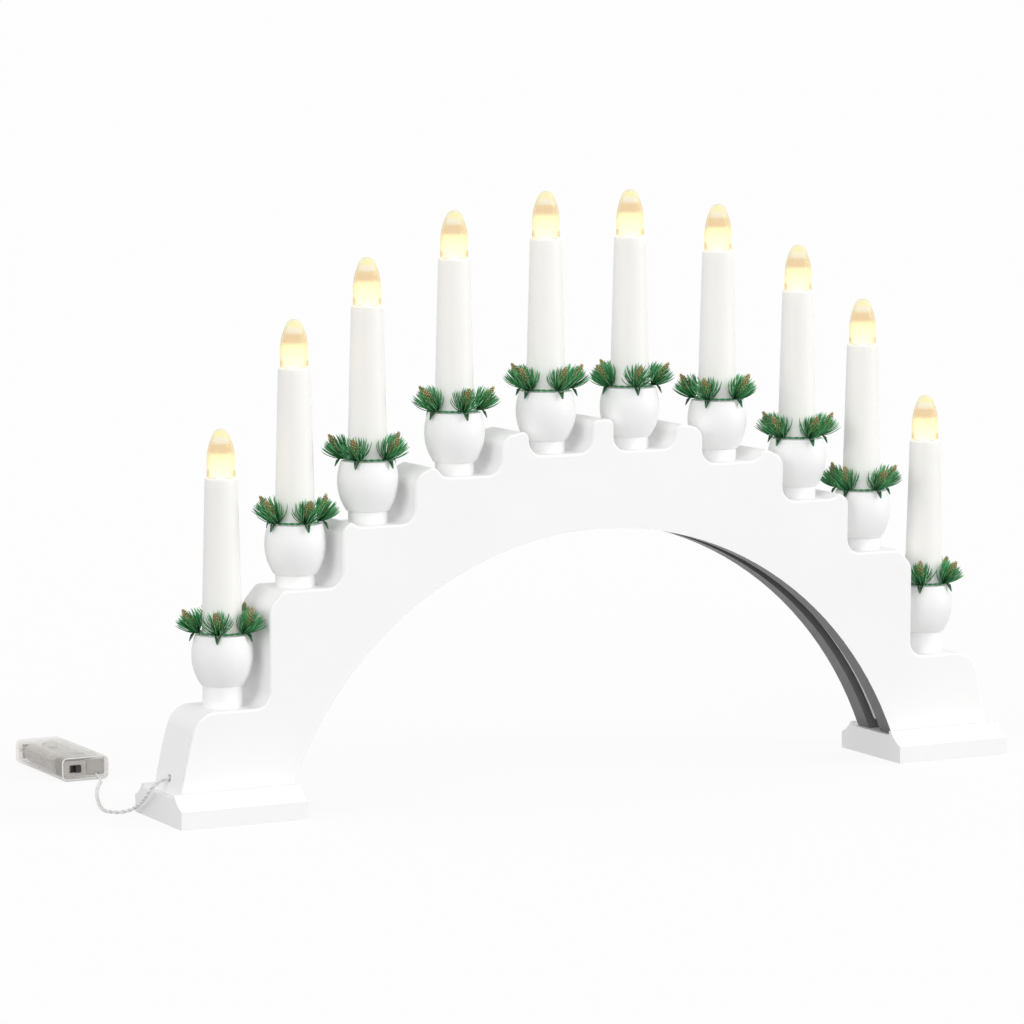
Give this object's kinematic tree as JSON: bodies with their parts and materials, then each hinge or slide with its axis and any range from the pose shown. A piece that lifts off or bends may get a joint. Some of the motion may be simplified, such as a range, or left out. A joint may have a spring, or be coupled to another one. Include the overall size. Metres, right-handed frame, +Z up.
{
  "type": "candle arch",
  "caption": "White painted wooden arch on two plinths carrying a row of battery candles in turned cups, each with a small green wreath, with a wired battery case and switch.",
  "frame": {"origin": "on the table under the middle of the arch", "axes": "+X along the arch, to the right seen from the front; +Y to the back; +Z up"},
  "size_m": [0.5161, 0.2275, 0.3184],
  "materials": {
    "board_paint": "satin white paint",
    "cup_paint": "satin white paint",
    "sleeve": "matt off-white",
    "bulb": "clear, lit warm from inside",
    "led": "clear warm lens",
    "greenery": "dark green needles with brown cones",
    "wire": "thin insulated wire",
    "lead_clear": "clear insulated pair",
    "case_clear": "clear moulded plastic",
    "cell_wrap": "plain grey wrap",
    "contact_steel": "plated",
    "switch_black": "black moulded",
    "screw_steel": "zinc plated"
  },
  "bodies": {
    "root": {"arch_board": "board_paint", "plinth_left": "board_paint", "plinth_right": "board_paint", "plinth_screws": "screw_steel", "candle_cup_1": "cup_paint", "candle_cup_2": "cup_paint", "candle_cup_3": "cup_paint", "candle_cup_4": "cup_paint", "candle_cup_5": "cup_paint", "candle_cup_6": "cup_paint", "candle_cup_7": "cup_paint", "candle_cup_8": "cup_paint", "candle_cup_9": "cup_paint", "candle_cup_10": "cup_paint", "candle_tube_1": "sleeve", "candle_tube_2": "sleeve", "candle_tube_3": "sleeve", "candle_tube_4": "sleeve", "candle_tube_5": "sleeve", "candle_tube_6": "sleeve", "candle_tube_7": "sleeve", "candle_tube_8": "sleeve", "candle_tube_9": "sleeve", "candle_tube_10": "sleeve", "flame_bulb_1": "bulb", "flame_bulb_2": "bulb", "flame_bulb_3": "bulb", "flame_bulb_4": "bulb", "flame_bulb_5": "bulb", "flame_bulb_6": "bulb", "flame_bulb_7": "bulb", "flame_bulb_8": "bulb", "flame_bulb_9": "bulb", "flame_bulb_10": "bulb", "leds": "led", "wiring_harness": "wire", "lead": "lead_clear", "battery_case": "case_clear", "battery_cells": "cell_wrap", "battery_plates": "contact_steel", "battery_springs": "contact_steel", "switch_body": "switch_black"},
    "wreath_1": {"wreath_1": "greenery"},
    "wreath_2": {"wreath_2": "greenery"},
    "wreath_3": {"wreath_3": "greenery"},
    "wreath_4": {"wreath_4": "greenery"},
    "wreath_5": {"wreath_5": "greenery"},
    "wreath_6": {"wreath_6": "greenery"},
    "wreath_7": {"wreath_7": "greenery"},
    "wreath_8": {"wreath_8": "greenery"},
    "wreath_9": {"wreath_9": "greenery"},
    "wreath_10": {"wreath_10": "greenery"},
    "battery_cover": {"battery_cover": "case_clear"},
    "switch_knob": {"switch_knob": "switch_black"}
  },
  "joints": [
    {"name": "wreath_1_lift", "type": "slide", "parent": "root", "child": "wreath_1", "axis": [0, 0, 1], "range_m": [0, 0.107]},
    {"name": "wreath_2_lift", "type": "slide", "parent": "root", "child": "wreath_2", "axis": [0, 0, 1], "range_m": [0, 0.107]},
    {"name": "wreath_3_lift", "type": "slide", "parent": "root", "child": "wreath_3", "axis": [0, 0, 1], "range_m": [0, 0.107]},
    {"name": "wreath_4_lift", "type": "slide", "parent": "root", "child": "wreath_4", "axis": [0, 0, 1], "range_m": [0, 0.107]},
    {"name": "wreath_5_lift", "type": "slide", "parent": "root", "child": "wreath_5", "axis": [0, 0, 1], "range_m": [0, 0.107]},
    {"name": "wreath_6_lift", "type": "slide", "parent": "root", "child": "wreath_6", "axis": [0, 0, 1], "range_m": [0, 0.107]},
    {"name": "wreath_7_lift", "type": "slide", "parent": "root", "child": "wreath_7", "axis": [0, 0, 1], "range_m": [0, 0.107]},
    {"name": "wreath_8_lift", "type": "slide", "parent": "root", "child": "wreath_8", "axis": [0, 0, 1], "range_m": [0, 0.107]},
    {"name": "wreath_9_lift", "type": "slide", "parent": "root", "child": "wreath_9", "axis": [0, 0, 1], "range_m": [0, 0.107]},
    {"name": "wreath_10_lift", "type": "slide", "parent": "root", "child": "wreath_10", "axis": [0, 0, 1], "range_m": [0, 0.107]},
    {"name": "battery_cover_slide", "type": "slide", "parent": "root", "child": "battery_cover", "axis": [0, 1, 0], "range_m": [0, 0.05]},
    {"name": "switch_slide", "type": "slide", "parent": "root", "child": "switch_knob", "axis": [-1, 0, 0], "range_m": [0, 0.0028]}
  ]
}
